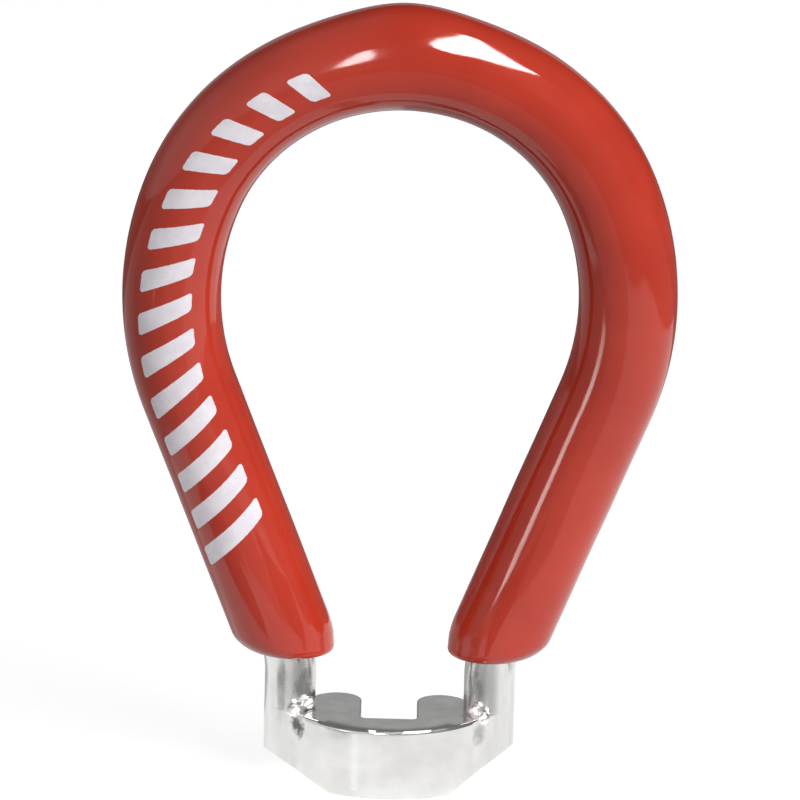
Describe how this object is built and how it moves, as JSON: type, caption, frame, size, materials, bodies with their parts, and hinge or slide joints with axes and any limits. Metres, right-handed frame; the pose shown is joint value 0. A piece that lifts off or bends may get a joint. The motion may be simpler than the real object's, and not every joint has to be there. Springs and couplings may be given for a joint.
{
  "type": "spoke wrench",
  "caption": "Teardrop-loop spoke wrench: a plated steel jaw block with a square nipple slot, brazed to a bent round bar whose loop is dip-coated in glossy red vinyl.",
  "frame": {"origin": "on the nipple's axis, at the level of the jaw block's foot", "axes": "+Z along the nipple's axis, from the foot up towards the loop; +Y out of the open back of the slot; the rounded front of the jaw block faces -Y"},
  "size_m": [0.034, 0.0122, 0.0504],
  "materials": {
    "plated_steel": "bright nickel plate over ground steel",
    "plated_bar": "bright nickel plate over drawn steel bar",
    "braze": "nickel plate over a rough braze bead",
    "red_vinyl": "glossy dip coat"
  },
  "bodies": {
    "root": {"wrench_head": "plated_steel", "handle_bar": "plated_bar", "braze_left": "braze", "braze_right": "braze", "vinyl_grip": "red_vinyl"}
  },
  "joints": []
}
